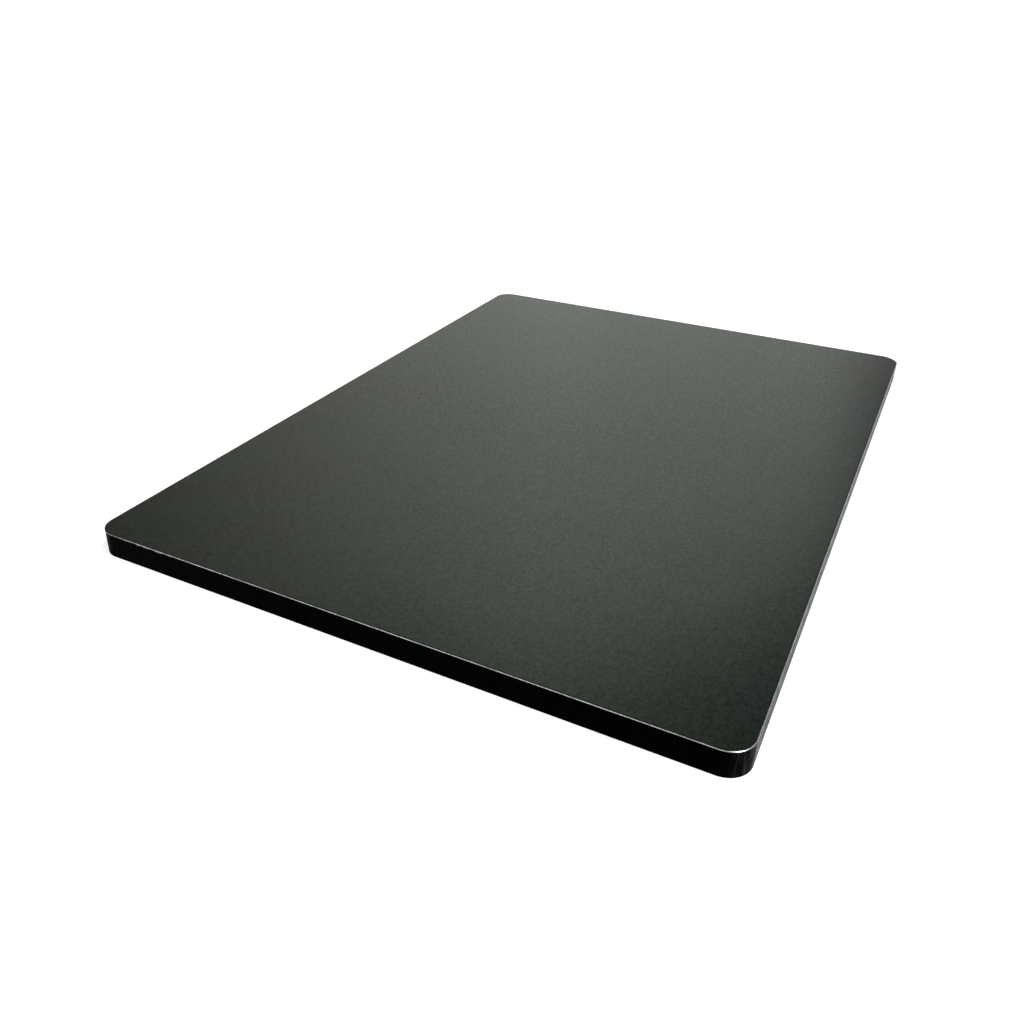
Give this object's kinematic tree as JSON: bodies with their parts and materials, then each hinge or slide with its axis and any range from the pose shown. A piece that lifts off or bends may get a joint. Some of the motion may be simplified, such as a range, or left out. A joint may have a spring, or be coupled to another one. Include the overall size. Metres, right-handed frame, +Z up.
{
  "type": "aluminium composite panel",
  "caption": "Flat rectangular aluminium composite panel with rounded corners: a black coated front skin and a plain back skin of thin aluminium on a solid black polyethylene core.",
  "frame": {"origin": "middle of the back face, where the panel lies on the floor", "axes": "+Z up through the thickness, out of the black front face; +Y along the longer edges; +X along the shorter edges"},
  "size_m": [0.1, 0.14, 0.004],
  "materials": {
    "coil_coating": "satin charcoal black coil coating on the face, bare metal at its cut edge",
    "polyethylene": "black, milled",
    "mill_aluminium": "plain mill finish with a clear service coat"
  },
  "bodies": {
    "root": {"front_skin": "coil_coating", "core": "polyethylene", "back_skin": "mill_aluminium"}
  },
  "joints": []
}
